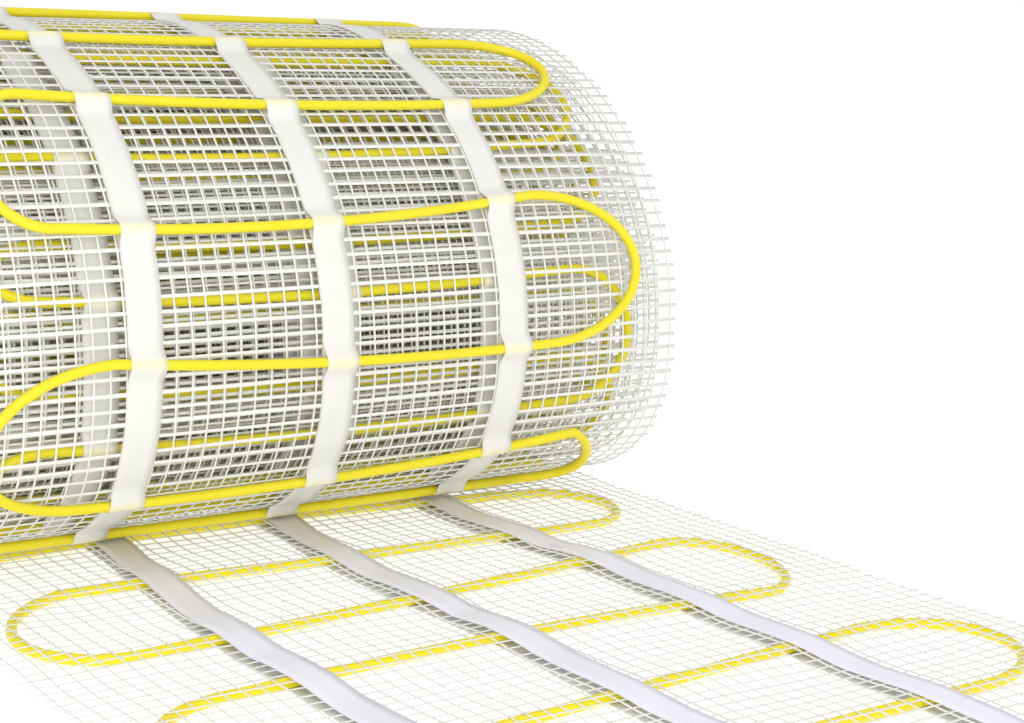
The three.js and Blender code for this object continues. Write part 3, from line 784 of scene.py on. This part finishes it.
def make_camera():
    """The photograph's camera: it looks along its yaw and pitch, turned by its roll."""
    yaw, pitch, roll = CAMERA_YAW, CAMERA_PITCH, CAMERA_ROLL
    flat = math.cos(pitch)
    forward = Vector((math.sin(yaw) * flat, math.cos(yaw) * flat, -math.sin(pitch)))
    level = Vector((math.cos(yaw), -math.sin(yaw), 0))
    down = forward.cross(level)
    right = math.cos(roll) * level + math.sin(roll) * down
    low = math.cos(roll) * down - math.sin(roll) * level
    data = bpy.data.cameras.new("camera")
    data.sensor_width = SENSOR
    data.lens = FOCAL_PIXELS / IMAGE_WIDTH * SENSOR
    data.clip_start, data.clip_end = 0.01, 50
    camera = bpy.data.objects.new("camera", data)
    turn = Matrix((right, -low, -forward)).transposed().to_4x4()
    camera.matrix_world = Matrix.Translation(CAMERA_PLACE) @ turn
    bpy.context.scene.collection.objects.link(camera)
    bpy.context.scene.camera = camera


def area_light(name, where, aim, size, power):
    """A square soft light at a place, turned to a point."""
    data = bpy.data.lights.new(name, "AREA")
    data.size = size
    data.energy = power
    lamp = bpy.data.objects.new(name, data)
    lamp.location = where
    lamp.rotation_euler = (Vector(aim) - Vector(where)).to_track_quat("-Z", "Y").to_euler()
    bpy.context.scene.collection.objects.link(lamp)


def make_studio():
    """A pale floor under an even white sky, with a large soft light above, one at the side and
    one by the camera, which reaches in through the mesh."""
    corners = np.array([(-1, -1, 0), (1, -1, 0), (1, 1, 0), (-1, 1, 0)]) * FLOOR_REACH
    floor = put_mesh("floor", corners - (0, 0, FLOOR_DROP), [np.array([[0, 1, 2, 3]])])
    material = new_material("pale_floor", Roughness=0.9, Base_Color=(0.6, 0.6, 0.6, 1.0),
                            Emission_Color=(1, 1, 1, 1), Emission_Strength=0.66)[0]
    floor.data.materials.append(material)
    world = bpy.data.worlds.new("studio")
    world.use_nodes = True
    sky = world.node_tree.nodes["Background"]
    sky.inputs["Color"].default_value = (1, 1, 1, 1)
    rays = add_node(world.node_tree, "ShaderNodeLightPath")
    strength = add_node(world.node_tree, "ShaderNodeMath", {"operation": "MULTIPLY_ADD"})
    world.node_tree.links.new(rays.outputs["Is Camera Ray"], strength.inputs[0])
    strength.inputs[1].default_value = SKY_WHITE - SKY_LIGHT
    strength.inputs[2].default_value = SKY_LIGHT
    world.node_tree.links.new(strength.outputs[0], sky.inputs["Strength"])
    scene = bpy.context.scene
    scene.world = world
    scene.view_settings.view_transform = "Standard"
    aim = (0, 0.1, 0.1)
    area_light("key", (-0.9, -1.3, 1.7), aim, size=1.6, power=7)
    area_light("fill", (1.4, -0.6, 1.0), aim, size=1.4, power=2.5)
    area_light("front", (-0.7, -1.08, 0.42), (0, 0.1, 0.12), size=0.5, power=6)


make_camera()
make_studio()

grain_nodes = grain_group()
yarn = yarn_material(grain_nodes)
sheath = cable_material(grain_nodes)
cover = cover_material(grain_nodes)
backing = backing_material(grain_nodes)

outside = cable_route(OUTER_FIRST, len(RUN_NUMBERS) - 1, straight_steps=10, bend_steps=26)
inside = cable_route(0, OUTER_FIRST, straight_steps=4, bend_steps=12)
cable_piece("cable_outside", outside, sides=16, material=sheath)
cable_piece("cable_inside", inside, sides=10, material=sheath)

floor_steps = np.append(np.arange(MESH_SPLIT_MM, TAIL_LENGTH / MM, FLOOR_STEP_MM) * MM, TAIL_LENGTH)
first_turns = turn_steps(0, 2, steps=110)
first_turns = first_turns[first_turns <= MESH_SPLIT_MM * MM]
mesh_piece("mesh_on_floor", floor_steps[::-1], cross_steps=64, material=yarn)
mesh_piece("mesh_first_turns", first_turns, cross_steps=8, material=yarn)
mesh_piece("mesh_middle_turns", turn_steps(2, 7, steps=52), cross_steps=4, material=yarn)
mesh_piece("mesh_inner_turns", turn_steps(7, TURNS, steps=44), cross_steps=4, material=yarn)

for tape_line in TAPE_LINES:
    cover_tape(tape_line, cover)
    backing_tape(tape_line, backing)
